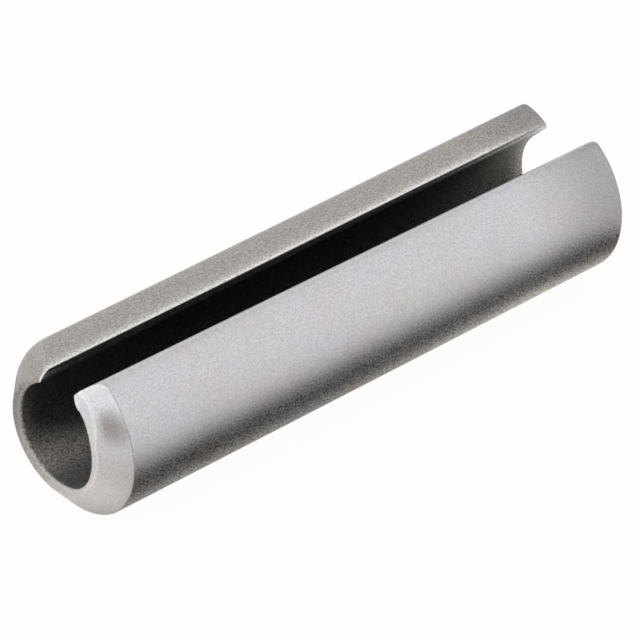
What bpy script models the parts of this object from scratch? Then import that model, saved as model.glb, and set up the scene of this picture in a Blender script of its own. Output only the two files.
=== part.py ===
"""Slotted spring pin, one piece of rolled spring steel, lying on its side with the slot up.

Frame: metres, +Z up. The pin's axis runs along X, the chamfered entry end at -X, the
square-cut end at +X, the open slot toward +Z. The origin is on the floor under the middle
of the pin.
"""
import math

import bmesh
import bpy
from mathutils import Matrix, Vector

MM = 0.001

# Driving dimensions
LENGTH = 40.0 * MM
FREE_DIAMETER = 10.7 * MM
WALL = 2.0 * MM
SLOT_WIDTH = 3.0 * MM
SHOULDER_ANGLE = math.radians(36.0)
SHOULDER_RADIUS = 0.50 * MM
LIP_CROWN_RADIUS = 2.40 * MM
LIP_FACE_HEIGHT = 0.76 * MM
NOSE_RADIUS = 0.14 * MM
HEEL_RADIUS = 0.65 * MM
CHAMFER_LENGTH = 1.30 * MM
CHAMFER_DROP = 1.45 * MM
END_BREAK = 0.15 * MM
BORE_BREAK = 0.05 * MM

# Named clearances
CUT_OVERRUN = 0.5 * MM

# Facets and shading
FACETS = 96
CROWN_STEPS = 6
SHOULDER_STEPS = 5
NOSE_STEPS = 4
HEEL_STEPS = 7
WELD_DISTANCE = 1e-7
SHARP_ANGLE = math.radians(24.0)

# Sizes that follow from the ones above
OUTER_RADIUS = FREE_DIAMETER / 2.0
BORE_RADIUS = OUTER_RADIUS - WALL
HALF_SLOT = SLOT_WIDTH / 2.0
FACET_ANGLE = 2.0 * math.pi / FACETS
AXIS_HEIGHT = OUTER_RADIUS * math.cos(FACET_ANGLE / 2.0)


def clear_scene():
    """Remove every object that is in the scene at the start."""
    for obj in list(bpy.data.objects):
        bpy.data.objects.remove(obj, do_unlink=True)


def make_collection(name):
    """Return a new collection linked to the scene."""
    collection = bpy.data.collections.new(name)
    bpy.context.scene.collection.children.link(collection)
    return collection


def make_spring_steel():
    """Return the satin spring steel of the pin."""
    material = bpy.data.materials.new("spring_steel")
    material.use_nodes = True
    shader = material.node_tree.nodes["Principled BSDF"]
    shader.inputs["Base Color"].default_value = (0.56, 0.55, 0.54, 1.0)
    shader.inputs["Metallic"].default_value = 1.0
    shader.inputs["Roughness"].default_value = 0.38
    return material


def arc_points(centre, radius, start, end, steps):
    """Return points of an arc, angles measured from +Z toward +Y, both ends included."""
    points = []
    for index in range(steps + 1):
        angle = start + (end - start) * index / steps
        points.append((centre[0] + radius * math.sin(angle), centre[1] + radius * math.cos(angle)))
    return points


def facet_arc(radius, end):
    """Return the facet corners of a circle about the axis, from beside its foot up to an angle.

    Angles are measured from +Z toward +Y. A flat facet is centred at the foot. A corner closer
    than a quarter facet to the end angle is left out, and the end angle is the last point.
    """
    points = []
    angle = math.pi - FACET_ANGLE / 2.0
    while angle > end + FACET_ANGLE / 4.0:
        points.append((radius * math.sin(angle), radius * math.cos(angle)))
        angle -= FACET_ANGLE
    points.append((radius * math.sin(end), radius * math.cos(end)))
    return points


def crown_centre():
    """Return the centre of the arc that crowns a lip.

    The arc runs from the upper corner of the lip's flat face to the shoulder on the outer circle.
    """
    corner_y = HALF_SLOT
    corner_z = math.sqrt(BORE_RADIUS ** 2 - HALF_SLOT ** 2) + LIP_FACE_HEIGHT
    chord_y = OUTER_RADIUS * math.sin(SHOULDER_ANGLE) - corner_y
    chord_z = OUTER_RADIUS * math.cos(SHOULDER_ANGLE) - corner_z
    chord = math.hypot(chord_y, chord_z)
    depth = math.sqrt(max(0.0, LIP_CROWN_RADIUS ** 2 - chord ** 2 / 4.0))
    centre_y = corner_y + chord_y / 2.0 + depth * chord_z / chord
    centre_z = corner_z + chord_z / 2.0 - depth * chord_y / chord
    return centre_y, centre_z


def shoulder_centre(crown_y, crown_z):
    """Return the centre, and its angle from +Z, of the arc between the outer circle and the crown.

    The arc touches both from inside, at the end of the crown that lies away from the slot.
    """
    inner = OUTER_RADIUS - SHOULDER_RADIUS
    span = LIP_CROWN_RADIUS - SHOULDER_RADIUS
    reach = math.hypot(crown_y, crown_z)
    cosine = (inner ** 2 + reach ** 2 - span ** 2) / (2.0 * inner * reach)
    angle = math.atan2(crown_y, crown_z) - math.acos(max(-1.0, min(1.0, cosine)))
    return inner * math.sin(angle), inner * math.cos(angle), angle


def half_section():
    """Return the outline of the +Y half of the section, from the outer foot over the lip to the bore's.

    The lip has a crowned top, a rounded nose at the slot, a flat face and a heel that eases the
    face into the bore.
    """
    crown_y, crown_z = crown_centre()
    shoulder_y, shoulder_z, touch = shoulder_centre(crown_y, crown_z)
    crown_turn = math.atan2(shoulder_y - crown_y, shoulder_z - crown_z)
    nose_y = HALF_SLOT + NOSE_RADIUS
    span = LIP_CROWN_RADIUS - NOSE_RADIUS
    nose_z = crown_z + math.sqrt(max(0.0, span ** 2 - (nose_y - crown_y) ** 2))
    nose_turn = math.atan2(nose_y - crown_y, nose_z - crown_z)
    heel_y = HALF_SLOT + HEEL_RADIUS
    heel_z = math.sqrt((BORE_RADIUS + HEEL_RADIUS) ** 2 - heel_y ** 2)
    heel_turn = math.atan2(heel_y, heel_z)
    face_turn = -math.pi / 2.0

    outline = facet_arc(OUTER_RADIUS, touch)
    outline += arc_points((shoulder_y, shoulder_z), SHOULDER_RADIUS, touch, crown_turn, SHOULDER_STEPS)[1:]
    outline += arc_points((crown_y, crown_z), LIP_CROWN_RADIUS, crown_turn, nose_turn, CROWN_STEPS)[1:]
    outline += arc_points((nose_y, nose_z), NOSE_RADIUS, nose_turn, face_turn, NOSE_STEPS)[1:]
    outline += arc_points((heel_y, heel_z), HEEL_RADIUS, face_turn, heel_turn - math.pi, HEEL_STEPS)
    outline += list(reversed(facet_arc(BORE_RADIUS, heel_turn)))[1:]
    return outline


def make_wall(material, collection):
    """Extrude the rolled C section along the axis and return it as a mesh object, longer than the pin."""
    right = half_section()
    left = [(-y, z) for y, z in reversed(right)]
    outline = right + left
    curve = bpy.data.curves.new("section_outline", "CURVE")
    curve.dimensions = "2D"
    curve.fill_mode = "BOTH"
    curve.extrude = LENGTH / 2.0 + CUT_OVERRUN
    spline = curve.splines.new("POLY")
    spline.points.add(len(outline) - 1)
    for point, (y, z) in zip(spline.points, outline):
        point.co = (y, z, 0.0, 1.0)
    spline.use_cyclic_u = True
    drawn = bpy.data.objects.new("section_outline", curve)
    bpy.context.scene.collection.objects.link(drawn)
    drawn.location = (0.0, 0.0, AXIS_HEIGHT)
    drawn.rotation_euler = (math.pi / 2.0, 0.0, math.pi / 2.0)
    bpy.context.view_layer.update()
    evaluated = drawn.evaluated_get(bpy.context.evaluated_depsgraph_get())
    mesh = bpy.data.meshes.new_from_object(evaluated)
    mesh.name = "spring_pin"
    frame = drawn.matrix_world.copy()
    bpy.data.objects.remove(drawn, do_unlink=True)

    work = bmesh.new()
    work.from_mesh(mesh)
    bmesh.ops.remove_doubles(work, verts=work.verts, dist=WELD_DISTANCE)
    bmesh.ops.recalc_face_normals(work, faces=work.faces)
    work.to_mesh(mesh)
    work.free()

    mesh.materials.clear()
    mesh.materials.append(material)
    wall = bpy.data.objects.new("spring_pin", mesh)
    wall.matrix_world = frame
    collection.objects.link(wall)
    return wall


def make_end_envelope(material, collection):
    """Turn the solid that bounds both ends: entry chamfer, square end and the broken edges.

    The profile is a closed loop round the wall's thickness. Its slopes run on past the wall
    by the overrun, so only the slopes and the two flat ends meet the pin.
    """
    half = LENGTH / 2.0
    slope = CHAMFER_LENGTH / CHAMFER_DROP
    outside = OUTER_RADIUS + CUT_OVERRUN
    inside = BORE_RADIUS - CUT_OVERRUN
    profile = [
        (OUTER_RADIUS - END_BREAK, half),
        (outside, half - END_BREAK - CUT_OVERRUN),
        (outside, CHAMFER_LENGTH + CUT_OVERRUN * slope - half),
        (OUTER_RADIUS - CHAMFER_DROP, -half),
        (BORE_RADIUS + BORE_BREAK, -half),
        (inside, BORE_BREAK + CUT_OVERRUN - half),
        (inside, half - BORE_BREAK - CUT_OVERRUN),
        (BORE_RADIUS + BORE_BREAK, half),
    ]
    mesh = bpy.data.meshes.new("end_envelope")
    edges = [(index, (index + 1) % len(profile)) for index in range(len(profile))]
    mesh.from_pydata([(radius, 0.0, along) for radius, along in profile], edges, [])
    mesh.materials.append(material)
    envelope = bpy.data.objects.new("end_envelope", mesh)
    collection.objects.link(envelope)
    half_facet = Matrix.Rotation(FACET_ANGLE / 2.0, 4, "Z")
    lay_down = Matrix(((0.0, 0.0, 1.0), (1.0, 0.0, 0.0), (0.0, 1.0, 0.0))).to_4x4()
    envelope.matrix_world = Matrix.Translation(Vector((0.0, 0.0, AXIS_HEIGHT))) @ lay_down @ half_facet
    turn = envelope.modifiers.new("turn", "SCREW")
    turn.axis = "Z"
    turn.angle = 2.0 * math.pi
    turn.steps = FACETS
    turn.render_steps = FACETS
    turn.use_merge_vertices = True
    turn.merge_threshold = WELD_DISTANCE
    turn.use_normal_calculate = False
    turn.use_smooth_shade = False
    envelope.display_type = "WIRE"
    envelope.hide_render = True
    return envelope


def main():
    """Build the pin."""
    clear_scene()
    part_collection = make_collection("spring_pin")
    cutter_collection = make_collection("spring_pin_cutters")
    steel = make_spring_steel()
    pin = make_wall(steel, part_collection)
    envelope = make_end_envelope(steel, cutter_collection)
    trim = pin.modifiers.new("end_forms", "BOOLEAN")
    trim.operation = "INTERSECT"
    trim.solver = "EXACT"
    trim.object = envelope
    pin.data.shade_smooth()
    pin.data.set_sharp_from_angle(angle=SHARP_ANGLE)


main()
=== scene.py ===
"""A slotted spring pin of rolled steel, lying slot up on a pale studio floor.

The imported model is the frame. The pin's shown surface is one closed skin, worked out with
numpy from the same sizes as the solid, and it replaces the solid's faceted mesh. Metres, +Z up:
the pin's axis runs along X, with the chamfered entry end at -X and the slot toward +Z. The
front lip is the one at -Y, the back lip the one at +Y.
"""
from __future__ import annotations

import logging
import math
from dataclasses import dataclass, field
from enum import Enum

import bpy
import numpy as np
from mathutils import Matrix, Vector

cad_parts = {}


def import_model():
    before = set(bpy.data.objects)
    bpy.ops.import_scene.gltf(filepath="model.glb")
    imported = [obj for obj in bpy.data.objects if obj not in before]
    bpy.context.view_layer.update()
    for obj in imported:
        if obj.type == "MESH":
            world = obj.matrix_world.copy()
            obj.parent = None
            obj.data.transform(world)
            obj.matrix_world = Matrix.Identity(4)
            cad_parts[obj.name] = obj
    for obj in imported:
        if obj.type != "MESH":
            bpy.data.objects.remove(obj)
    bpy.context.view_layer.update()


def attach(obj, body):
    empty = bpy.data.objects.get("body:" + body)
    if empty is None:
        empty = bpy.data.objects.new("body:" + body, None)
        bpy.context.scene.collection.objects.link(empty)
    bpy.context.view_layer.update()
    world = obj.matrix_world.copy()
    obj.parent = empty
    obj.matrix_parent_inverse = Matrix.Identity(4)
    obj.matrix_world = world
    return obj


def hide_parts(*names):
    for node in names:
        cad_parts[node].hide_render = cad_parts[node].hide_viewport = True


MM = 0.001
FLATTEST_COSINE = 0.9999
LONGEST_SETBACK = 0.45

Colour = tuple[float, float, float]
Ramp = tuple[float, ...]
Numbers = tuple[float, ...]

log = logging.getLogger("spring_pin")


class Node(Enum):
    """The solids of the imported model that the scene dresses."""

    PIN = "spring_pin"


class Side(Enum):
    """The two halves of the section, by the sign of Y."""

    FRONT = -1.0
    BACK = 1.0


class Zone(Enum):
    """Edges of the wall's lengthwise loop, in the order in which it runs.

    The loop's corners are numbered the same way: a corner has the number of the edge after it.
    """

    ENTRY_RING = 0
    CHAMFER = 1
    OUTSIDE = 2
    SQUARE_END = 3
    BORE = 4


class Trace(Enum):
    """Point attributes of the skin that its material reads."""

    BORE = "bore_depth"
    # Edges and crowns lightened, partly by rubbing and partly by painted highlights.
    EDGE = "edge_wear_and_highlight"
    CUT = "cut_face"
    # A painted shade line along the chamfer's start and the square end's outer corner.
    LINE = "chamfer_shade_line"


@dataclass(frozen=True)
class Photo:
    """The reference frame, in pixels, and the camera that saw the pin in it."""

    width: int = 640
    azimuth: float = -44.24
    elevation: float = 35.71
    roll: float = 2.87
    distance: float = 0.37506
    focal_pixels: float = 6413.9
    aim: tuple[float, float, float] = (-0.000203, -0.000561, 0.004790)
    sensor: float = 36.0

    def place_camera(self) -> bpy.types.Object:
        """Create the camera that looks along the photograph's line of sight.

        Returns:
            The camera object, already the scene's camera.
        """
        data = bpy.data.cameras.new("photo_camera")
        data.sensor_width = self.sensor
        data.lens = self.focal_pixels / self.width * self.sensor
        camera = bpy.data.objects.new("photo_camera", data)
        bpy.context.scene.collection.objects.link(camera)
        azimuth = math.radians(self.azimuth)
        elevation = math.radians(self.elevation)
        backward = Vector((
            math.sin(azimuth) * math.cos(elevation),
            -math.cos(azimuth) * math.cos(elevation),
            math.sin(elevation),
        ))
        level = backward.to_track_quat("Z", "Y").to_matrix().to_4x4()
        rolled = level @ Matrix.Rotation(math.radians(self.roll), 4, "Z")
        camera.matrix_world = Matrix.Translation(Vector(self.aim) + backward * self.distance) @ rolled
        bpy.context.scene.camera = camera
        return camera


def arc(centre: tuple[float, float], radius: float | np.ndarray, angles: np.ndarray) -> np.ndarray:
    """Return the points of an arc as (point, 2), angles measured from +Z toward +Y."""
    return np.stack((centre[0] + radius * np.sin(angles), centre[1] + radius * np.cos(angles)), axis=1)


@dataclass(frozen=True)
class LipForm:
    """One lip of the section at one end of the pin, as distances from the axis on the +Y side.

    The outer circle ends at a shoulder. From there a flatter crown falls to the nose, the upper
    corner of the flat face that looks across the slot. The heel is the face's corner at the bore.
    Nearer the slot than bore_flat, in degrees from the slot's middle, the bore runs on straight.
    """

    half_slot: float
    nose_height: float
    crown_radius: float
    shoulder_angle: float
    shoulder_radius: float
    bore_flat: float = 0.0
    heel_radius: float = 0.16 * MM
    nose_radius: float = 0.14 * MM
    crown_lines: int = 20
    corner_lines: int = 9
    shoulder_lines: int = 10

    def crown_centre(self, outer_radius: float) -> tuple[float, float]:
        """Work out the centre of the arc of crown_radius through the nose and the shoulder.

        It lies square to the middle of the chord between them, toward the axis.

        Args:
            outer_radius: Radius of the pin's outside.

        Returns:
            The centre as y and z about the axis.
        """
        shoulder = math.radians(self.shoulder_angle)
        end = np.array((outer_radius * math.sin(shoulder), outer_radius * math.cos(shoulder)))
        nose = np.array((self.half_slot, self.nose_height))
        chord = end - nose
        length = float(np.linalg.norm(chord))
        inward = np.array((chord[1], -chord[0])) / length
        depth = math.sqrt(self.crown_radius ** 2 - length ** 2 / 4.0)
        centre = (nose + end) / 2.0 + inward * depth
        return float(centre[0]), float(centre[1])

    def lines(
        self, outer_radius: float, bore_radius: float, round_lines: int,
    ) -> tuple[np.ndarray, np.ndarray]:
        """Work out the section's half from the foot opposite the slot to the lip's flat face.

        The shoulder is an arc that touches the outer circle and the crown from inside: its centre
        is at outer_radius minus its radius from the axis and at crown_radius minus its radius from
        the crown's centre. The nose and the heel are small arcs that touch the flat face. Where
        the bore runs straight, its distance from the axis is bore_radius over the cosine of the
        angle past bore_flat. Every outside point has a partner on the bore, at even steps of angle.

        Args:
            outer_radius: Radius of the pin's outside.
            bore_radius: Radius of the bore.
            round_lines: Lines on the plain round of the wall.

        Returns:
            The outside's points and the bore's points, each (line, 2) as y and z about the axis.
        """
        crown = self.crown_centre(outer_radius)
        reach = math.hypot(*crown)
        inner = outer_radius - self.shoulder_radius
        span = self.crown_radius - self.shoulder_radius
        cosine = (inner ** 2 + reach ** 2 - span ** 2) / (2.0 * inner * reach)
        touch = math.atan2(*crown) - math.acos(min(1.0, cosine))
        shoulder = (inner * math.sin(touch), inner * math.cos(touch))
        crown_start = math.atan2(shoulder[0] - crown[0], shoulder[1] - crown[1])

        nose_y = self.half_slot + self.nose_radius
        nose_span = self.crown_radius - self.nose_radius
        nose_z = crown[1] + math.sqrt(nose_span ** 2 - (nose_y - crown[0]) ** 2)
        nose_start = math.atan2(nose_y - crown[0], nose_z - crown[1])
        heel_y = self.half_slot + self.heel_radius
        heel_bend = math.asin(heel_y / (bore_radius + self.heel_radius))
        bend = max(math.radians(self.bore_flat), heel_bend)
        heel_z = (bore_radius + self.heel_radius - heel_y * math.sin(bend)) / math.cos(bend)
        heel_start = math.atan2(
            heel_y - self.heel_radius * math.sin(bend),
            heel_z - self.heel_radius * math.cos(bend),
        )

        round_angles = np.linspace(math.pi, touch, round_lines, endpoint=False)
        shoulder_angles = np.linspace(touch, crown_start, self.shoulder_lines, endpoint=False)
        crown_angles = np.linspace(crown_start, nose_start, self.crown_lines, endpoint=False)
        nose_angles = np.linspace(nose_start, -math.pi / 2.0, self.corner_lines)
        heel_angles = np.linspace(bend - math.pi, -math.pi / 2.0, self.corner_lines)
        under = np.linspace(touch, heel_start, self.shoulder_lines + self.crown_lines, endpoint=False)
        under_reach = bore_radius / np.cos(np.maximum(bend - under, 0.0))
        outside = np.concatenate((
            arc((0.0, 0.0), outer_radius, round_angles),
            arc(shoulder, self.shoulder_radius, shoulder_angles),
            arc(crown, self.crown_radius, crown_angles),
            arc((nose_y, nose_z), self.nose_radius, nose_angles),
        ))
        bore = np.concatenate((
            arc((0.0, 0.0), bore_radius, round_angles),
            arc((0.0, 0.0), under_reach, under),
            arc((heel_y, heel_z), self.heel_radius, heel_angles),
        ))
        return outside, bore

    def turn(self, round_lines: int) -> np.ndarray:
        """Return how far each line of the half has turned into the flat face, from 0 to 1."""
        before = round_lines + self.shoulder_lines + self.crown_lines
        return np.concatenate((np.zeros(before), np.linspace(0.0, 1.0, self.corner_lines)))


@dataclass(frozen=True)
class Mouth:
    """The pressed entry end, whose edges wander a little round the pin.

    Each table has one number for each of the angles, which are in degrees from the slot's middle
    and positive toward the back lip. The shapes' tables and oxide_and_light_reach are in millimetres.
    rim_oxide_and_light and ring_oxide say how dark the bore's edge and the ring are, from 0 to 1. The
    bore's edge is lighter toward the bottom, and lighter further in there, partly as thinner oxide
    and partly as painted light that comes in at the mouth.
    """

    angles: Numbers = (
        -170, -150, -130, -110, -90, -75, -60, -48, -36,
        -24, 24, 36, 50, 70, 90, 120, 150, 175,
    )
    bore_inset: Numbers = (
        0.12, 0.10, 0.16, 0.34, 0.48, 0.50, 0.38, 0.16, -0.07,
        -0.05, 0.02, 0.04, 0.06, 0.06, 0.06, 0.06, 0.08, 0.10,
    )
    ring_edge: Numbers = (
        3.80, 3.64, 3.45, 3.35, 3.32, 3.36, 3.70, 4.35, 4.50,
        4.40, 3.45, 3.50, 3.65, 3.82, 3.90, 3.90, 3.88, 3.88,
    )
    chamfer_length: Numbers = (
        1.30, 1.24, 1.20, 1.18, 1.16, 1.15, 1.15, 1.18, 1.24,
        1.30, 1.75, 1.75, 1.68, 1.55, 1.45, 1.38, 1.34, 1.32,
    )
    bore_break: Numbers = (
        0.26, 0.26, 0.26, 0.26, 0.26, 0.24, 0.18, 0.10, 0.06,
        0.05, 0.06, 0.10, 0.22, 0.30, 0.30, 0.30, 0.28, 0.26,
    )
    chamfer_break: Numbers = (
        0.30, 0.25, 0.18, 0.12, 0.10, 0.10, 0.10, 0.10, 0.10,
        0.10, 1.10, 1.10, 1.10, 1.00, 0.80, 0.50, 0.40, 0.30,
    )
    # The bore's edge is lighter toward the bottom: partly thinner oxide, partly painted light from the
    # mouth.
    rim_oxide_and_light: Numbers = (
        0.24, 0.30, 0.58, 0.90, 1.00, 1.00, 1.00, 1.00, 1.00,
        1.00, 1.00, 1.00, 0.95, 0.75, 0.55, 0.44, 0.28, 0.24,
    )
    ring_oxide: Numbers = (
        0.22, 0.08, 0.00, 0.00, 0.00, 0.00, 0.00, 0.00, 0.00,
        0.00, 0.10, 0.10, 0.18, 0.42, 0.55, 0.58, 0.50, 0.35,
    )
    oxide_and_light_reach: Numbers = (
        18.0, 15.0, 9.0, 3.0, 1.5, 1.5, 1.5, 1.5, 1.5,
        1.5, 1.5, 1.5, 1.5, 1.5, 1.5, 1.6, 14.0, 18.0,
    )
    width: float = 9.0
    spacing: float = 3.0
    slot_edge: float = 0.1
    inset_depth: float = 2.6 * MM

    def read(self, table: Numbers, angles: np.ndarray) -> np.ndarray:
        """Read a table at the given angles.

        Between the table's angles its numbers run evenly, except that each lip's last number
        holds as far as the slot's middle. They are sampled at stations, evenly spaced round the
        pin, and the result is the stations' mean, weighed by a bell of the given width in
        degrees. That leaves no kink in the faces. Near the slot a lip reads its own stations only.

        Args:
            table: One of the mouth's tables.
            angles: Where to read it, in degrees.

        Returns:
            The numbers there, in the table's own unit.
        """
        stations = np.arange(-180.0 + self.spacing / 2.0, 180.0, self.spacing)
        slot = int(np.searchsorted(self.angles, 0.0))
        known = np.insert(np.array(self.angles, dtype=float), slot, (-self.slot_edge, self.slot_edge))
        held = np.insert(np.array(table, dtype=float), slot, (table[slot - 1], table[slot]))
        values = np.interp(stations, known, held, period=360.0)
        away = (angles[:, None] - stations[None, :] + 180.0) % 360.0 - 180.0
        same_lip = angles[:, None] * stations[None, :] > 0.0
        lower_half = np.abs(angles[:, None]) > 90.0
        weight = np.exp(-(away / self.width) ** 2) * (same_lip | lower_half)
        return (weight * values[None, :]).sum(1) / weight.sum(1)


def rounded_loop(
    corners: np.ndarray, radii: np.ndarray, edge_steps: list[int], round_steps: int,
) -> np.ndarray:
    """Round the corners of many polygons at once.

    Each corner gets an arc that is tangent to its two edges and takes no more than a given share
    of the shorter one. The arc's points turn evenly from one tangent point to the other: a point
    is the centre plus the first arm times the sine of the turn to go and the last arm times the
    sine of the turn made, over the sine of the whole turn. The points of an edge crowd toward its
    ends by half a cosine, which keeps smooth shading tight beside the arcs.

    Args:
        corners: Polygons as an array of (line, corner, 2).
        radii: Wanted radius of each corner as an array of (line, corner).
        edge_steps: Points inside the edge after each corner.
        round_steps: Points on each arc.

    Returns:
        The rounded polygons as an array of (line, point, 2), each from its first corner's arc on.
    """
    count = corners.shape[1]
    starts, ends, arcs = [], [], []
    for index in range(count):
        corner = corners[:, index]
        before = corners[:, index - 1] - corner
        after = corners[:, (index + 1) % count] - corner
        reach_before = np.linalg.norm(before, axis=1, keepdims=True)
        reach_after = np.linalg.norm(after, axis=1, keepdims=True)
        before = before / reach_before
        after = after / reach_after
        cosine = (before * after).sum(1, keepdims=True)
        opening = np.arccos(np.clip(cosine, -FLATTEST_COSINE, FLATTEST_COSINE))
        half_tangent = np.tan(opening / 2.0)
        longest = LONGEST_SETBACK * np.minimum(reach_before, reach_after)
        setback = np.minimum(radii[:, index, None] / half_tangent, longest)
        radius = setback * half_tangent
        start = corner + before * setback
        end = corner + after * setback
        inward = before + after
        inward = inward / np.linalg.norm(inward, axis=1, keepdims=True)
        centre = corner + inward * radius / np.sin(opening / 2.0)
        turn = np.pi - opening
        share = np.linspace(0.0, 1.0, round_steps)[None, :, None]
        first = (start - centre)[:, None, :]
        last = (end - centre)[:, None, :]
        spread = turn[:, :, None]
        sweep = np.sin((1.0 - share) * spread) * first + np.sin(share * spread) * last
        sweep = sweep / np.sin(spread)
        starts.append(start)
        ends.append(end)
        arcs.append(centre[:, None, :] + sweep)
    parts = []
    for index in range(count):
        parts.append(arcs[index])
        steps = edge_steps[index]
        share = 0.5 - 0.5 * np.cos(np.pi * np.arange(1, steps + 1) / (steps + 1))
        share = share[None, :, None]
        edge_start = ends[index][:, None, :]
        edge_end = starts[(index + 1) % count][:, None, :]
        parts.append(edge_start * (1.0 - share) + edge_end * share)
    return np.concatenate(parts, axis=1)


def turned(points: np.ndarray, degrees: float) -> np.ndarray:
    """Turn section points about the axis, from +Z toward +Y.

    The new y is y times the cosine plus z times the sine, the new z is z times the cosine minus
    y times the sine.

    Args:
        points: Points as an array of (..., 2), y and z.
        degrees: The turn.

    Returns:
        The turned points, an array of the same shape.
    """
    cosine = math.cos(math.radians(degrees))
    sine = math.sin(math.radians(degrees))
    y, z = points[..., 0], points[..., 1]
    return np.stack((y * cosine + z * sine, z * cosine - y * sine), axis=-1)


@dataclass(frozen=True)
class WearAndPaintedLight:
    """How the steel's rubbing, painted highlights and painted shade lie, as shares from 0 to 1 where no unit
    is named.

    Corners: corner_rub_and_highlight and corner_shade_line say how lightened and how dark each corner of the
    lengthwise loop is. The lightening is partly rubbing and partly painted highlight, and the dark is a
    painted shade line. The ring's oxide, times ring_shade, is taken off the lightening.

    Crowns: a lip's crown is lightened by the lip's share times a power, its gather, of the way from
    the shoulder to the nose. This is a painted highlight, spread over the front lip's crown and
    gathered into a bright line at the back lip's nose. nose_turn says how soon it ends in the turn
    into the flat face, and it falls to nose_least over the last nose_fade metres before the square end.

    Square end: the rim keeps far_rim_oxide_and_light, and the oxide is whole far_bore_reach metres further
    in, or far_face_reach on the flat faces, which are bare at the rim and lightened by
    far_face_rub_and_light.
    The lighter rim is partly thinner oxide and partly painted light that comes in at the mouth.
    A flat face starts at the share face_start of the turn into it and is whole face_turn later.
    Under the lips the bore is like the faces by the share under_lip, which runs out over the
    under_run degrees before under_end, counted from the slot's middle.
    """

    # Corner lightening, partly rubbing and partly painted highlight.
    corner_rub_and_highlight: Numbers = (0.45, 0.10, 0.0, 0.0, 0.4)
    # How dark the painted shade line at each corner is.
    corner_shade_line: Numbers = (0.0, 0.0, 1.0, 0.8, 0.0)
    ring_shade: float = 1.7
    # Painted highlights: spread over the front lip's crown, gathered into a line at the back lip's nose.
    front_crown_highlight: float = 0.9
    front_gather: float = 0.7
    back_nose_highlight: float = 1.0
    back_gather: float = 16.0
    nose_turn: float = 1.15
    nose_fade: float = 5.0 * MM
    nose_least: float = 0.25
    face_start: float = 0.45
    face_turn: float = 0.40
    # The far rim and faces are lighter: partly thinner oxide, partly painted light from the mouth.
    far_rim_oxide_and_light: float = 0.40
    far_face_rub_and_light: float = 0.40
    far_bore_reach: float = 1.8 * MM
    far_face_reach: float = 9.0 * MM
    under_lip: float = 0.40
    under_end: float = 62.0
    under_run: float = 40.0


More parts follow.
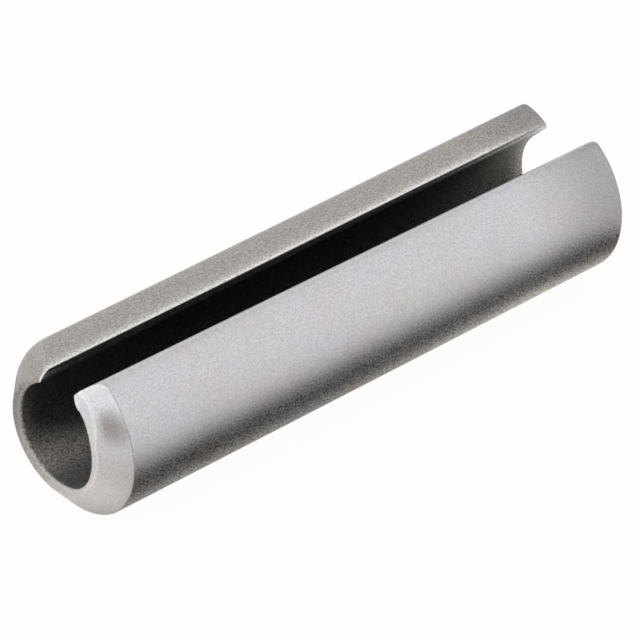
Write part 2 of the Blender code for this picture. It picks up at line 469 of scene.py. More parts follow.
@dataclass
class SpringPin:
    """The pin: a rolled C section along X with two lips, a chamfered entry end and a square end.

    The skin is a grid. One way runs round the C from the front lip's flat face to the back lip's,
    as lines that join a point of the outside to a point of the bore. The other way runs round the
    wall's lengthwise section, which is a five-cornered loop with small rounds at its corners. The
    section has one form at each end, and between them it changes evenly with the distance along
    X: the slot opens and turns a little, as rolled steel springs back. The turns are in degrees
    from +Z toward +Y, and the ring's outer edge keeps within ring_limits of the wall.
    """

    length: float = 40.0 * MM
    outer_radius: float = 5.35 * MM
    bore_radius: float = 3.33 * MM
    axis_height: float = 5.3471 * MM
    entry_turn: float = 1.3
    far_turn: float = -1.4
    ring_break: float = 0.30 * MM
    end_break: float = 0.20 * MM
    far_bore_break: float = 0.05 * MM
    face_break: float = 0.05 * MM
    ring_limits: tuple[float, float] = (0.06, 0.94)
    shortest_chamfer: float = 0.05 * MM
    round_lines: int = 110
    ring_steps: int = 6
    chamfer_steps: int = 10
    long_steps: int = 60
    square_steps: int = 9
    round_steps: int = 7
    mouth: Mouth = field(default_factory=Mouth)
    wear_and_light: WearAndPaintedLight = field(default_factory=WearAndPaintedLight)
    entry_forms: dict[Side, LipForm] = field(default_factory=lambda: {
        Side.FRONT: LipForm(1.42 * MM, 3.67 * MM, 5.0 * MM, 28.3, 0.7 * MM, 0.0, 1.00 * MM),
        Side.BACK: LipForm(1.42 * MM, 3.69 * MM, 3.7 * MM, 40.5, 0.5 * MM, 0.0, 0.25 * MM),
    })
    far_forms: dict[Side, LipForm] = field(default_factory=lambda: {
        Side.FRONT: LipForm(1.61 * MM, 3.84 * MM, 5.0 * MM, 28.8, 0.5 * MM, 0.0, 0.50 * MM),
        Side.BACK: LipForm(1.60 * MM, 3.58 * MM, 3.7 * MM, 40.5, 0.5 * MM, 49.0, 0.10 * MM),
    })

    def section(self, forms: dict[Side, LipForm], turn: float) -> tuple[np.ndarray, np.ndarray]:
        """Join the front and the back half of one end's section at the foot.

        Args:
            forms: The lip of each side.
            turn: Turn of the slot's middle from +Z toward +Y, in degrees.

        Returns:
            Outside points and bore points, each (line, 2), from the front face to the back face.
        """
        halves = {
            side: form.lines(self.outer_radius, self.bore_radius, self.round_lines)
            for side, form in forms.items()
        }
        joined = []
        for part in (0, 1):
            front = halves[Side.FRONT][part][:0:-1] * np.array((Side.FRONT.value, 1.0))
            joined.append(turned(np.concatenate((front, halves[Side.BACK][part])), turn))
        return joined[0], joined[1]

    def face_turn(self) -> np.ndarray:
        """Return how far every line has turned into a flat face, from 0 to 1."""
        half = self.entry_forms[Side.BACK].turn(self.round_lines)
        return np.concatenate((half[:0:-1], half))

    def angles(self, entry: tuple[np.ndarray, np.ndarray]) -> np.ndarray:
        """Return each line's angle at the entry end, in degrees from +Z toward +Y."""
        middle = (entry[0] + entry[1]) / 2.0
        return np.degrees(np.arctan2(middle[:, 0], middle[:, 1]))

    def loops(
        self, entry: tuple[np.ndarray, np.ndarray], far: tuple[np.ndarray, np.ndarray],
    ) -> np.ndarray:
        """Work out the wall's lengthwise section at every line.

        A loop's corners, as distance along X and distance from the bore's point: the bore at the
        entry end, the ring's outer edge, the chamfer's start on the outside, the outside at the
        square end and the bore at the square end. The ring's outer edge is where the line crosses
        the circle of the mouth's ring_edge, the larger root of a quadratic. The chamfer is a cone,
        so a line that ends nearer the axis meets it nearer the entry end. The mouth's inset pulls
        the bore inward at the entry end and dies out along X by a smooth step, without moving the
        outside. The flat faces stand back from both ends by a small break.

        Args:
            entry: Outside and bore points at the entry end.
            far: Outside and bore points at the square end.

        Returns:
            The loops as an array of (line, point, 2).
        """
        outside, bore = entry
        across = outside - bore
        thickness = np.linalg.norm(across, axis=1)
        far_thickness = np.linalg.norm(far[0] - far[1], axis=1)
        angles = self.angles(entry)
        inset = self.mouth.read(self.mouth.bore_inset, angles) * MM
        ring_radius = self.mouth.read(self.mouth.ring_edge, angles) * MM
        chamfer = self.mouth.read(self.mouth.chamfer_length, angles) * MM

        square = (across ** 2).sum(1)
        slant = 2.0 * (bore * across).sum(1)
        rest = (bore ** 2).sum(1) - ring_radius ** 2
        root = np.sqrt(np.maximum(slant ** 2 - 4.0 * square * rest, 0.0))
        ring = thickness * np.clip((root - slant) / (2.0 * square), *self.ring_limits)
        ring = (ring + inset) / (1.0 + inset / thickness)
        outer = np.linalg.norm(outside, axis=1)
        run = chamfer * (outer - ring_radius) / (self.outer_radius - ring_radius)
        setback = self.face_break * (1.0 - np.cos(self.face_turn() * math.pi / 2.0))
        near_x = -self.length / 2.0 + setback
        far_x = self.length / 2.0 - setback
        zero = np.zeros_like(near_x)
        corners = np.stack((
            np.stack((near_x, zero), axis=1),
            np.stack((near_x, ring), axis=1),
            np.stack((near_x + np.maximum(run, self.shortest_chamfer), thickness), axis=1),
            np.stack((far_x, far_thickness), axis=1),
            np.stack((far_x, zero), axis=1),
        ), axis=1)
        breaks = (0.0, self.ring_break, 0.0, self.end_break, self.far_bore_break)
        radii = np.repeat(np.array(breaks)[None, :], len(near_x), axis=0)
        radii[:, Zone.ENTRY_RING.value] = self.mouth.read(self.mouth.bore_break, angles) * MM
        radii[:, Zone.OUTSIDE.value] = self.mouth.read(self.mouth.chamfer_break, angles) * MM
        loops = rounded_loop(corners, radii, self.edge_steps(), self.round_steps)
        depth = np.clip((loops[:, :, 0] + self.length / 2.0) / self.mouth.inset_depth, 0.0, 1.0)
        fade = (1.0 - depth) ** 2 * (1.0 + 2.0 * depth)
        loops[:, :, 1] -= inset[:, None] * fade * (1.0 - loops[:, :, 1] / thickness[:, None])
        return loops

    def edge_steps(self) -> list[int]:
        """Return the points inside each edge of a loop, one number for each zone."""
        return [self.ring_steps, self.chamfer_steps, self.long_steps, self.square_steps, self.long_steps]

    def traces(self, along: np.ndarray, angles: np.ndarray) -> dict[Trace, np.ndarray]:
        """Work out the attributes of the grid's points, numbers from 0 to 1.

        cut_face is 1 on the ring, the chamfer and the square end. bore_depth is 1 in the bore and
        on the flat faces, and the ring has the mouth's ring_oxide. Both change evenly over the
        loop's corners, but each face's last line is bore all round, because the strip that closes
        the face joins its long sides. Toward each mouth bore_depth is made lighter, partly as thinner
        oxide and partly as painted light that comes in there: it is multiplied by one minus what the
        rim lacks times the square of the share of the reach still to go.

        edge_wear_and_highlight is the most of three: a bell over the bore's corners and the ring's outer
        one, which is partly rubbing and partly painted highlight; the painted highlight of the crowns, which
        a cosine takes down over the turn into the flat face; and the faces' own lightening at the square
        end, partly rubbing and partly painted light. chamfer_shade_line, a painted shade line, is a bell
        over the chamfer's start on the front half and over the square end's outer corner.

        Args:
            along: X of the grid's points as an array of (line, point).
            angles: Angle of each line at the entry end, in degrees.

        Returns:
            The attributes, each an array of (line, point).
        """
        wear_and_light = self.wear_and_light
        rim = self.mouth.read(self.mouth.rim_oxide_and_light, angles)[:, None]
        ring = self.mouth.read(self.mouth.ring_oxide, angles)[:, None]
        reach = self.mouth.read(self.mouth.oxide_and_light_reach, angles)[:, None] * MM
        one = np.ones_like(rim)
        level = {
            Trace.BORE: {Zone.BORE: one, Zone.ENTRY_RING: ring},
            Trace.CUT: {Zone.ENTRY_RING: one, Zone.CHAMFER: one, Zone.SQUARE_END: one},
        }
        bell = {Trace.EDGE: wear_and_light.corner_rub_and_highlight, Trace.LINE: wear_and_light.corner_shade_line}
        share = np.linspace(0.0, 1.0, self.round_steps)[None, :]
        loop: dict[Trace, list[np.ndarray]] = {trace: [] for trace in Trace}
        zones = list(Zone)
        for index, zone in enumerate(zones):
            edge = np.ones((1, self.edge_steps()[index]))
            for trace, levels in level.items():
                before = levels.get(zones[index - 1], 0.0 * one)
                here = levels.get(zone, 0.0 * one)
                loop[trace] += [before + (here - before) * share, here * edge]
            for trace, heights in bell.items():
                loop[trace] += [one * heights[index] * np.sin(np.pi * share), 0.0 * one * edge]
        flat = {trace: np.concatenate(parts, axis=1) for trace, parts in loop.items()}

        turn = self.face_turn()[:, None]
        face = np.clip((turn - wear_and_light.face_start) / wear_and_light.face_turn, 0.0, 1.0)
        under = np.clip((wear_and_light.under_end - np.abs(angles[:, None])) / wear_and_light.under_run, 0.0, 1.0)
        like_face = np.maximum(face, wear_and_light.under_lip * under)
        far_reach = wear_and_light.far_bore_reach + (wear_and_light.far_face_reach - wear_and_light.far_bore_reach) * like_face
        far_rim = wear_and_light.far_rim_oxide_and_light * (1.0 - like_face)
        to_far = self.length / 2.0 - along
        from_far = 1.0 - np.clip(to_far / far_reach, 0.0, 1.0)
        from_entry = 1.0 - np.clip((along + self.length / 2.0) / reach, 0.0, 1.0)
        # Lighter toward each mouth: partly thinner oxide, partly painted light that comes in there.
        thinned_and_lit = (1.0 - (1.0 - rim) * from_entry ** 2) * (1.0 - (1.0 - far_rim) * from_far ** 2)
        oxide = np.maximum(flat[Trace.BORE], face * (1.0 - flat[Trace.CUT]))
        oxide = np.where(turn < 1.0, oxide, 1.0)

        # Painted highlight of the crowns, carried over the nose into the flat face.
        over_nose = np.cos(0.5 * np.pi * np.clip(turn * wear_and_light.nose_turn, 0.0, 1.0))
        nose = np.where(turn > 0.0, over_nose, self.crown_highlight()[:, None])
        nose = nose * np.clip(to_far / wear_and_light.nose_fade, wear_and_light.nose_least, 1.0) * (1.0 - flat[Trace.BORE])
        rubbed_and_highlight = np.maximum(nose, wear_and_light.far_face_rub_and_light * face * from_far ** 2)
        # The painted shade line is kept to the front half and to the square end's half.
        shade_lined = (angles[:, None] < 0.0) | (along > 0.0)
        return {
            Trace.BORE: oxide * thinned_and_lit,
            Trace.CUT: flat[Trace.CUT],
            Trace.EDGE: np.maximum(flat[Trace.EDGE] * (1.0 - wear_and_light.ring_shade * ring), rubbed_and_highlight),
            Trace.LINE: flat[Trace.LINE] * shade_lined,
        }

    def crown_highlight(self) -> np.ndarray:
        """Work out each line's painted highlight on the crown.

        From a lip's shoulder to its nose the highlight is the lip's share times a power of the share
        of the lines passed. A power below one spreads it over the front lip's crown, a high one
        gathers it into a bright line at the back lip's nose.

        Returns:
            The painted highlight of every line, 0 off the crowns.
        """
        form = self.entry_forms[Side.FRONT]
        first = form.corner_lines - 1
        last = form.corner_lines + form.crown_lines + form.shoulder_lines
        wear_and_light = np.zeros(2 * (self.round_lines + last) - 1)
        share = np.linspace(1.0, 0.0, last - first)
        wear_and_light[first:last] = self.wear_and_light.front_crown_highlight * share ** self.wear_and_light.front_gather
        wear_and_light[::-1][first:last] = self.wear_and_light.back_nose_highlight * share ** self.wear_and_light.back_gather
        return wear_and_light

    def build(self) -> bpy.types.Object:
        """Build the skin as one closed mesh.

        A grid point is the bore's point, plus its loop distance along the line to the outside, of
        the section at its own X. Each lip's flat face is closed by a strip that joins the loop's
        two long sides.

        Returns:
            The pin's object, at the origin.
        """
        entry = self.section(self.entry_forms, self.entry_turn)
        far = self.section(self.far_forms, self.far_turn)
        loops = self.loops(entry, far)
        lines, points = loops.shape[:2]
        along = np.clip(loops[:, :, 0] / self.length + 0.5, 0.0, 1.0)[:, :, None]
        bore = entry[1][:, None, :] * (1.0 - along) + far[1][:, None, :] * along
        outside = entry[0][:, None, :] * (1.0 - along) + far[0][:, None, :] * along
        across = outside - bore
        across = across / np.linalg.norm(across, axis=2, keepdims=True)
        place = np.empty((lines, points, 3))
        place[:, :, 0] = loops[:, :, 0]
        place[:, :, 1:] = bore + across * loops[:, :, 1:2]
        place[:, :, 2] += self.axis_height

        index = np.arange(lines * points).reshape(lines, points)
        beside = np.roll(index, -1, axis=1)
        faces = [np.stack((index[:-1], index[1:], beside[1:], beside[:-1]), axis=2).reshape(-1, 4)]
        middle = self.round_steps + self.edge_steps()[0] // 2
        for line, flip in ((0, True), (lines - 1, False)):
            rim = np.roll(index[line], -middle)
            front = rim[:points // 2]
            back = rim[::-1][:points // 2]
            strip = np.stack((front[:-1], back[:-1], back[1:], front[1:]), axis=1)
            faces.append(strip[:, ::-1] if flip else strip)
        mesh = bpy.data.meshes.new("spring_pin_skin")
        mesh.from_pydata(place.reshape(-1, 3), [], np.concatenate(faces))
        mesh.validate()
        mesh.shade_smooth()
        for trace, values in self.traces(loops[:, :, 0], self.angles(entry)).items():
            layer = mesh.attributes.new(trace.value, "FLOAT", "POINT")
            layer.data.foreach_set("value", values.astype(np.float32).ravel())
        mesh.update()
        skin = bpy.data.objects.new("spring_pin_skin", mesh)
        bpy.context.scene.collection.objects.link(skin)
        return skin


class NodeSheet:
    """A node tree that is filled by short calls."""

    def __init__(self, tree: bpy.types.NodeTree) -> None:
        """Take over a node tree and empty it."""
        self.tree = tree
        tree.nodes.clear()

    def add(self, kind: str, inputs: dict | None = None, **settings: object) -> bpy.types.Node:
        """Add a node.

        Args:
            kind: The node's type without its ShaderNode prefix.
            inputs: Socket names or numbers, each with a plain value or with a socket to link.
            settings: Attributes of the node.

        Returns:
            The node.
        """
        node = self.tree.nodes.new("ShaderNode" + kind)
        for name, value in settings.items():
            setattr(node, name, value)
        for name, value in (inputs or {}).items():
            if isinstance(value, bpy.types.NodeSocket):
                self.tree.links.new(value, node.inputs[name])
            else:
                node.inputs[name].default_value = value
        return node

    def math(self, operation: str, first: object, second: object = 0.0) -> bpy.types.NodeSocket:
        """Add a Math node and return its output."""
        return self.add("Math", {0: first, 1: second}, operation=operation).outputs[0]

    def vector(self, operation: str, first: object, second: object) -> bpy.types.NodeSocket:
        """Add a Vector Math node and return its vector."""
        return self.add("VectorMath", {0: first, 1: second}, operation=operation).outputs["Vector"]

    def ramp(
        self, value: bpy.types.NodeSocket, start: float, end: float, low: float = 0.0, high: float = 1.0,
    ) -> bpy.types.NodeSocket:
        """Add a smooth step from low at start to high at end and return its output."""
        inputs = {"Value": value, "From Min": start, "From Max": end, "To Min": low, "To Max": high}
        return self.add("MapRange", inputs, interpolation_type="SMOOTHSTEP").outputs["Result"]

    def mix(self, factor: object, first: object, second: object, blend: str = "MIX") -> bpy.types.NodeSocket:
        """Add a colour Mix node and return its output."""
        inputs = {0: factor, 6: first, 7: second}
        return self.add("Mix", inputs, data_type="RGBA", blend_type=blend).outputs[2]


def opaque(colour: Colour) -> tuple[float, float, float, float]:
    """Return a colour with full alpha."""
    return (*colour, 1.0)


def grey(level: float) -> tuple[float, float, float, float]:
    """Return a grey with full alpha."""
    return (level, level, level, 1.0)


@dataclass(frozen=True)
class SteelGrain:
    """The grain of blasted and tumbled steel. Its scales are shares of the fine grain's own.

    Here and below a Ramp is a smooth step: where it starts and ends, then its values there if
    they aren't 0 and 1.
    """

    name: str = "steel_grain"
    fine_detail: float = 3.0
    fine_roughness: float = 0.65
    cloud_scale: float = 0.036
    cloud_detail: float = 4.0
    cloud_roughness: float = 0.55
    pit_scale: float = 0.45
    pit: Ramp = (0.05, 0.22)

    def group(self) -> bpy.types.NodeTree:
        """Build the grain's node group.

        Speck is a fine grain of the surface's lightness, Cloud a soft patchiness some twenty
        grains across, and Height the grain's relief with the odd deeper pit.

        Returns:
            The node group.
        """
        group = bpy.data.node_groups.new(self.name, "ShaderNodeTree")
        face = group.interface
        face.new_socket("Vector", in_out="INPUT", socket_type="NodeSocketVector")
        face.new_socket("Scale", in_out="INPUT", socket_type="NodeSocketFloat")
        face.new_socket("Stretch", in_out="INPUT", socket_type="NodeSocketVector")
        for name in ("Speck", "Cloud", "Height"):
            face.new_socket(name, in_out="OUTPUT", socket_type="NodeSocketFloat")
        sheet = NodeSheet(group)
        given = group.nodes.new("NodeGroupInput").outputs
        taken = group.nodes.new("NodeGroupOutput").inputs
        place = sheet.vector("MULTIPLY", given["Vector"], given["Stretch"])
        fine = sheet.add("TexNoise", {
            "Vector": place,
            "Scale": given["Scale"],
            "Detail": self.fine_detail,
            "Roughness": self.fine_roughness,
        })
        cloud = sheet.add("TexNoise", {
            "Vector": place,
            "Scale": sheet.math("MULTIPLY", given["Scale"], self.cloud_scale),
            "Detail": self.cloud_detail,
            "Roughness": self.cloud_roughness,
        })
        pits = sheet.add("TexVoronoi", {
            "Vector": place,
            "Scale": sheet.math("MULTIPLY", given["Scale"], self.pit_scale),
        })
        pit = sheet.ramp(pits.outputs["Distance"], *self.pit)
        group.links.new(fine.outputs[0], taken["Speck"])
        group.links.new(cloud.outputs[0], taken["Cloud"])
        group.links.new(sheet.math("MULTIPLY", fine.outputs[0], pit), taken["Height"])
        return group


@dataclass(frozen=True)
class SteelSource:
    """What the steel's colours are worked out from: sockets of its material's node tree."""

    sheet: NodeSheet
    place: bpy.types.NodeSocket
    x: bpy.types.NodeSocket
    y: bpy.types.NodeSocket
    z: bpy.types.NodeSocket
    speck: bpy.types.NodeSocket
    cloud: bpy.types.NodeSocket
    height: bpy.types.NodeSocket
    trace: dict[Trace, bpy.types.NodeSocket]


@dataclass(frozen=True)
class SteelFinish:
    """Satin spring steel, bare outside, with a dark heat-treated bore, painted shade, and edges
    lightened partly by rubbing and partly by painted highlights.

    The ramps of places are in metres of the pin's own frame, and those of the grain and of the
    traces are in their own numbers.
    """

    name: str = "spring_steel_satin"
    warm: Colour = (0.665, 0.636, 0.634)
    cool: Colour = (0.665, 0.658, 0.690)
    # Painted warm shade over the back lip.
    back_shade_colour: Colour = (0.548, 0.512, 0.476)
    # Painted shade: the steel darkens toward the square end.
    far_end_shade_colour: Colour = (0.400, 0.382, 0.378)
    cut: Colour = (0.700, 0.685, 0.700)
    # Painted shade: the cut faces darken toward the foot to this colour.
    cut_low_shade_colour: Colour = (0.500, 0.468, 0.452)
    # Colour of real blotches, and of painted shade on the front chamfer: its grey patch and the line along
    # its start.
    stain_and_painted_shade: Colour = (0.30, 0.275, 0.255)
    # Lightened edges and crowns: partly rubbing, partly painted highlights.
    rubbed_and_highlight: Colour = (0.86, 0.85, 0.84)
    oxide: Colour = (0.014, 0.013, 0.011)
    rubbed_oxide: Colour = (0.090, 0.086, 0.074)

    grain_scale: float = 10500.0
    grain_stretch: tuple[float, float, float] = (0.75, 1.0, 1.0)
    drift: Ramp = (0.38, 0.62)
    mottle: Ramp = (0.38, 0.62)
    grit: float = 0.79
    # Dark specks within the painted warm shade of the back lip.
    back_shade_grit: float = 0.60
    belly_grit: float = 0.15
    belly_pits: Ramp = (0.12, 0.48, 0.40, 1.50)
    belly_rise: Ramp = (4.2 * MM, 6.4 * MM, 1.0, 0.0)
    belly_bore: Ramp = (0.0, 0.2, 1.0, 0.5)

    cut_share: float = 0.9
    # Painted shade of the cut faces toward the foot, by smooth steps of Z.
    cut_shade_rise: Ramp = (4.2 * MM, 9.4 * MM)
    cut_foot_shade: Ramp = (0.8 * MM, 4.0 * MM, 0.76, 1.0)
    # Where the painted warm shade of the back lip starts and thins, as smooth steps of Y.
    back_shade_start: Ramp = (-0.3 * MM, 1.2 * MM)
    back_shade_thinning: Ramp = (2.3 * MM, 3.8 * MM, 1.0, 0.80)
    ageing: Ramp = (0.36, 0.62, 0.5, 0.1)
    # Painted shade toward the square end, a smooth step of X.
    far_end_shade: Ramp = (12.5 * MM, 19.5 * MM, 0.0, 0.8)
    # The front chamfer's grey patch, painted shade that is partly a blotch.
    stain_and_shade_place: tuple[float, float, float] = (-19.35 * MM, -4.15 * MM, 8.00 * MM)
    stain_and_shade_squeeze: tuple[float, float, float] = (1.0, 0.6, 0.75)
    stain_and_shade_ragged: float = 0.8 * MM
    stain_and_shade_fade: Ramp = (0.45 * MM, 1.65 * MM, 0.80, 0.0)
    stain_and_shade_start: Ramp = (-19.95 * MM, -19.60 * MM)
    wear_and_highlight_grain: Ramp = (0.34, 0.56, 0.35, 1.0)
    # How dark the painted shade line is.
    shade_line_share: float = 0.8

    roughness: Ramp = (0.3, 0.7, 0.37, 0.40)
    bore_roughness: float = 0.16
    worn_and_highlight_polish: float = 0.08
    metal: Ramp = (0.1, 0.9, 1.0, 0.75)
    bump_strength: float = 0.6
    bump_height: float = 0.04 * MM

    def back_shade(self, source: SteelSource) -> bpy.types.NodeSocket:
        """Work out the mask of the painted warm shade over the back lip.

        It starts at the slot, lies over the back lip and thins behind it, by two smooth steps of Y.

        Args:
            source: Where the mask's numbers come from.

        Returns:
            The mask.
        """
        onto_lip = source.sheet.ramp(source.y, *self.back_shade_start)
        behind_lip = source.sheet.ramp(source.y, *self.back_shade_thinning)
        return source.sheet.math("MULTIPLY", onto_lip, behind_lip)

    def bare(self, source: SteelSource, back_shade: bpy.types.NodeSocket) -> bpy.types.NodeSocket:
        """Work out the steel's colour without its grain, its chamfer patch and line, and its lightened
        edges.

        The rolled steel drifts between a warm and a cool grey. The cut faces are lighter, but a
        painted shade darkens them toward the foot by two smooth steps of Z. A painted warm shade lies
        over both on the back lip, with darker blotches in patches where it covers the cut faces, and
        toward the square end a painted shade darkens all by a smooth step of X.

        Args:
            source: Where the colour's numbers come from.
            back_shade: The mask of the painted warm shade over the back lip.

        Returns:
            The colour.
        """
        sheet = source.sheet
        on_cut = source.trace[Trace.CUT]
        rolled = sheet.mix(sheet.ramp(source.cloud, *self.drift), opaque(self.warm), opaque(self.cool))
        # Painted shade: the cut faces darken toward the foot.
        cut = sheet.mix(sheet.ramp(source.z, *self.cut_shade_rise), opaque(self.cut_low_shade_colour), opaque(self.cut))
        cut = sheet.mix(1.0, cut, sheet.ramp(source.z, *self.cut_foot_shade), "MULTIPLY")
        tint = sheet.mix(sheet.math("MULTIPLY", on_cut, self.cut_share), rolled, cut)
        tint = sheet.mix(back_shade, tint, opaque(self.back_shade_colour))
        patches = sheet.ramp(source.cloud, *self.ageing)
        aged = sheet.math("MULTIPLY", sheet.math("MULTIPLY", back_shade, on_cut), patches)
        tint = sheet.mix(aged, tint, opaque(self.stain_and_painted_shade))
        # Painted shade darkens everything toward the square end.
        return sheet.mix(sheet.ramp(source.x, *self.far_end_shade), tint, opaque(self.far_end_shade_colour))

    def stain_and_shade_patch(self, source: SteelSource) -> bpy.types.NodeSocket:
        """Work out the mask of the grey patch on the front chamfer: painted shade of its darker reflection
        there, partly a blotch as well.

        It fades by a smooth step of the distance from the patch's middle, in squeezed axes and
        with some of the cloud added, and it ends before the ring.

        Args:
            source: Where the mask's numbers come from.

        Returns:
            The mask.
        """
        sheet = source.sheet
        offset = sheet.vector("SUBTRACT", source.place, self.stain_and_shade_place)
        squeezed = sheet.vector("MULTIPLY", offset, self.stain_and_shade_squeeze)
        away = sheet.add("VectorMath", {0: squeezed}, operation="LENGTH").outputs["Value"]
        ragged = sheet.math("ADD", away, sheet.math("MULTIPLY", source.cloud, self.stain_and_shade_ragged))
        spread = sheet.ramp(ragged, *self.stain_and_shade_fade)
        spread = sheet.math("MULTIPLY", spread, sheet.ramp(source.x, *self.stain_and_shade_start))
        return sheet.math("MULTIPLY", spread, source.trace[Trace.CUT])

    def grained(
        self,
        source: SteelSource,
        tint: bpy.types.NodeSocket,
        back_shade: bpy.types.NodeSocket,
        mottle: bpy.types.NodeSocket,
    ) -> bpy.types.NodeSocket:
        """Darken the colour by the grain.

        The dark specks are deeper in the painted warm shade of the back lip and deepest on the
        belly, where the pits are dark too. The belly is a smooth step of Z, off the cut faces and half as
        strong in the bore.

        Args:
            source: Where the grain comes from.
            tint: The colour without grain.
            back_shade: The mask of the painted warm shade over the back lip.
            mottle: The fine grain, 0 in its dark specks.

        Returns:
            The colour with its grain.
        """
        sheet = source.sheet
        off_cut = sheet.math("SUBTRACT", 1.0, source.trace[Trace.CUT])
        belly = sheet.math("MULTIPLY", sheet.ramp(source.z, *self.belly_rise), off_cut)
        belly = sheet.math("MULTIPLY", belly, sheet.ramp(source.trace[Trace.BORE], *self.belly_bore))
        dark = sheet.mix(back_shade, grey(self.grit), grey(self.back_shade_grit))
        dark = sheet.mix(belly, dark, grey(self.belly_grit))
        tint = sheet.mix(1.0, tint, sheet.mix(mottle, dark, grey(1.0)), "MULTIPLY")
        return sheet.mix(belly, tint, sheet.ramp(source.height, *self.belly_pits), "MULTIPLY")

    def material(self, grain: bpy.types.NodeTree) -> bpy.types.Material:
        """Build the steel's material from the grain and the skin's traces.

        The colour, with its painted shade, blotches and grain, is lighter at the edges and crowns,
        partly by rubbing and partly by painted highlights, and dark along a painted shade line at the
        chamfer's start and the square end's outer corner. The bore is a dark, rougher and duller oxide,
        mottled like the rest.

        Args:
            grain: The steel grain's node group.

        Returns:
            The material, metallic outside and less so in the bore.
        """
        material = bpy.data.materials.new(self.name)
        material.use_nodes = True
        sheet = NodeSheet(material.node_tree)
        place = sheet.add("TexCoord").outputs["Object"]
        axes = sheet.add("SeparateXYZ", {0: place}).outputs
        values = {"Vector": place, "Scale": self.grain_scale, "Stretch": self.grain_stretch}
        steel = sheet.add("Group", values, node_tree=grain).outputs
        trace = {
            kind: sheet.add("Attribute", attribute_name=kind.value).outputs["Fac"] for kind in Trace
        }
        source = SteelSource(
            sheet, place, axes["X"], axes["Y"], axes["Z"],
            steel["Speck"], steel["Cloud"], steel["Height"], trace,
        )

        # Painted warm shade over the back lip.
        back_shade = self.back_shade(source)
        mottle = sheet.ramp(source.speck, *self.mottle)
        # The front chamfer's grey patch, painted shade that is partly a blotch.
        tint = sheet.mix(self.stain_and_shade_patch(source), self.bare(source, back_shade), opaque(self.stain_and_painted_shade))
        tint = self.grained(source, tint, back_shade, mottle)
        # Edges and crowns lightened, partly by rubbing and partly by painted highlights.
        worn_and_highlight = sheet.math("MULTIPLY", trace[Trace.EDGE], sheet.ramp(source.speck, *self.wear_and_highlight_grain))
        tint = sheet.mix(worn_and_highlight, tint, opaque(self.rubbed_and_highlight))
        # Painted shade line along the chamfer's start and the square end's outer corner.
        shade_lined = sheet.math("MULTIPLY", trace[Trace.LINE], self.shade_line_share)
        tint = sheet.mix(shade_lined, tint, opaque(self.stain_and_painted_shade))
        oxide = sheet.mix(mottle, opaque(self.oxide), opaque(self.rubbed_oxide))

        rough = sheet.ramp(source.cloud, *self.roughness)
        in_bore = sheet.math("MULTIPLY", trace[Trace.BORE], self.bore_roughness)
        rough = sheet.math("ADD", rough, in_bore)
        rough = sheet.math("SUBTRACT", rough, sheet.math("MULTIPLY", worn_and_highlight, self.worn_and_highlight_polish))
        bump = sheet.add("Bump", {
            "Strength": self.bump_strength,
            "Distance": self.bump_height,
            "Height": source.height,
        })
        shader = sheet.add("BsdfPrincipled", {
            "Base Color": sheet.mix(trace[Trace.BORE], tint, oxide),
            "Metallic": sheet.ramp(trace[Trace.BORE], *self.metal),
            "Roughness": rough,
            "Normal": bump.outputs["Normal"],
        })
        sheet.add("OutputMaterial", {"Surface": shader.outputs["BSDF"]})
        return material


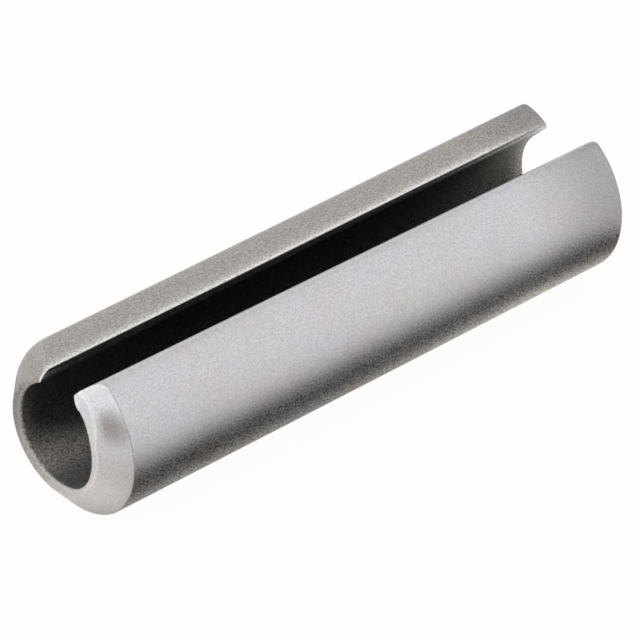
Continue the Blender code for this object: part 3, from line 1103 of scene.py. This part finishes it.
@dataclass(frozen=True)
class Studio:
    """Pale floor, a white surround and soft light from the front.

    The strip is a painted contact shadow on the floor beside the pin, which only the steel
    mirrors, with ramps of the distance to either side of the pin's axis and of X, in metres. The
    foot is a paler painted line of it, close to the pin. The light's directions point toward it,
    and their spans are cosines.
    """

    floor_size: float = 1.2
    floor_colour: Colour = (0.80, 0.80, 0.80)
    floor_mirrored: float = 0.95
    camera_share: float = 0.96
    strip_side: Ramp = (8.5 * MM, 20.0 * MM)
    strip_entry: Ramp = (-21.0 * MM, -16.5 * MM, 1.0, 0.0)
    strip_far: Ramp = (22.5 * MM, 27.0 * MM)
    strip_level: float = 0.076
    strip_colour: Colour = (1.0, 0.96, 0.88)
    foot_side: Ramp = (3.2 * MM, 6.6 * MM, 0.48, 0.0)
    foot_along: Ramp = (0.0, 20.0 * MM, 1.0, 2.2)
    main_level: float = 1.05
    dim_direction: tuple[float, float, float] = (0.567, 0.449, 0.691)
    dim_span: tuple[float, float] = (0.72, 0.93)
    dim_level: float = 0.80
    side_direction: tuple[float, float, float] = (-0.90, -0.12, 0.42)
    side_span: tuple[float, float] = (0.88, 0.98)
    side_lift: float = 0.64
    side_colour: Colour = (0.955, 0.975, 1.05)

    def floor(self) -> bpy.types.Object:
        """Lay the floor at the height on which the pin lies.

        The camera sees it white with the pin's faint shadow. What the steel mirrors of it is white
        too, except for the dim, warm strip of contact shadow along both sides of the pin and the
        paler foot in it, which grows toward the square end.

        Returns:
            The floor's object.
        """
        half = self.floor_size / 2.0
        corners = [(-half, -half, 0.0), (half, -half, 0.0), (half, half, 0.0), (-half, half, 0.0)]
        mesh = bpy.data.meshes.new("studio_floor")
        mesh.from_pydata(corners, [], [(0, 1, 2, 3)])
        floor = bpy.data.objects.new("studio_floor", mesh)
        bpy.context.scene.collection.objects.link(floor)
        material = bpy.data.materials.new("studio_floor")
        material.use_nodes = True
        sheet = NodeSheet(material.node_tree)
        path = sheet.add("LightPath").outputs
        place = sheet.add("SeparateXYZ", {0: sheet.add("TexCoord").outputs["Object"]}).outputs
        side = sheet.math("ABSOLUTE", place["Y"])
        past_ends = sheet.math(
            "MAXIMUM",
            sheet.ramp(place["X"], *self.strip_entry),
            sheet.ramp(place["X"], *self.strip_far),
        )
        # Painted contact shadow on the floor, seen only in the steel's mirror.
        off_strip = sheet.math("MAXIMUM", sheet.ramp(side, *self.strip_side), past_ends)
        foot = sheet.math(
            "MULTIPLY",
            sheet.ramp(side, *self.foot_side),
            sheet.ramp(place["X"], *self.foot_along),
        )
        level = sheet.ramp(off_strip, 0.0, 1.0, self.strip_level, self.floor_mirrored)
        mirrored = sheet.add("Emission", {
            "Color": sheet.mix(off_strip, opaque(self.strip_colour), grey(1.0)),
            "Strength": sheet.math("ADD", level, foot),
        })
        matt = sheet.add("BsdfDiffuse", {"Color": opaque(self.floor_colour)})
        white = sheet.add("Emission", {"Strength": 1.0})
        seen = sheet.add("MixShader", {
            0: sheet.math("MULTIPLY", path["Is Camera Ray"], self.camera_share),
            1: matt.outputs[0],
            2: white.outputs[0],
        })
        shown = sheet.add("MixShader", {
            0: path["Is Glossy Ray"],
            1: seen.outputs[0],
            2: mirrored.outputs[0],
        })
        sheet.add("OutputMaterial", {"Surface": shown.outputs[0]})
        mesh.materials.append(material)
        return floor

    def world(self) -> None:
        """Surround the set with soft light, dimmer behind and above, fuller past the entry end.

        The level is a smooth step of the cosine between a direction and the dim direction, plus
        one of the cosine to the side direction, which is bluer too. The camera itself sees plain
        white.
        """
        world = bpy.data.worlds.new("studio_world")
        bpy.context.scene.world = world
        world.use_nodes = True
        sheet = NodeSheet(world.node_tree)
        ray = sheet.add("TexCoord").outputs["Generated"]
        cosines = []
        for toward in (self.dim_direction, self.side_direction):
            inputs = {0: ray, 1: tuple(Vector(toward).normalized())}
            cosines.append(sheet.add("VectorMath", inputs, operation="DOT_PRODUCT").outputs["Value"])
        level = sheet.ramp(cosines[0], *self.dim_span, self.main_level, self.dim_level)
        side = sheet.ramp(cosines[1], *self.side_span)
        level = sheet.math("ADD", level, sheet.math("MULTIPLY", side, self.side_lift))
        strength = sheet.math("MAXIMUM", level, sheet.add("LightPath").outputs["Is Camera Ray"])
        colour = sheet.mix(side, grey(1.0), opaque(self.side_colour))
        background = sheet.add("Background", {"Color": colour, "Strength": strength})
        sheet.add("OutputWorld", {"Surface": background.outputs[0]})


def main() -> None:
    """Load the frame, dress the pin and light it."""
    logging.basicConfig(level=logging.INFO, format="%(name)s: %(message)s")
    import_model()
    bpy.context.scene.view_settings.view_transform = "Standard"

    skin = SpringPin().build()
    skin.data.materials.append(SteelFinish().material(SteelGrain().group()))
    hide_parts(Node.PIN.value)
    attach(skin, "root")
    log.info("%s: %d faces", skin.name, len(skin.data.polygons))

    studio = Studio()
    floor = studio.floor()
    studio.world()
    log.info("%s: laid and lit", floor.name)
    Photo().place_camera()


if __name__ == "__main__":
    main()
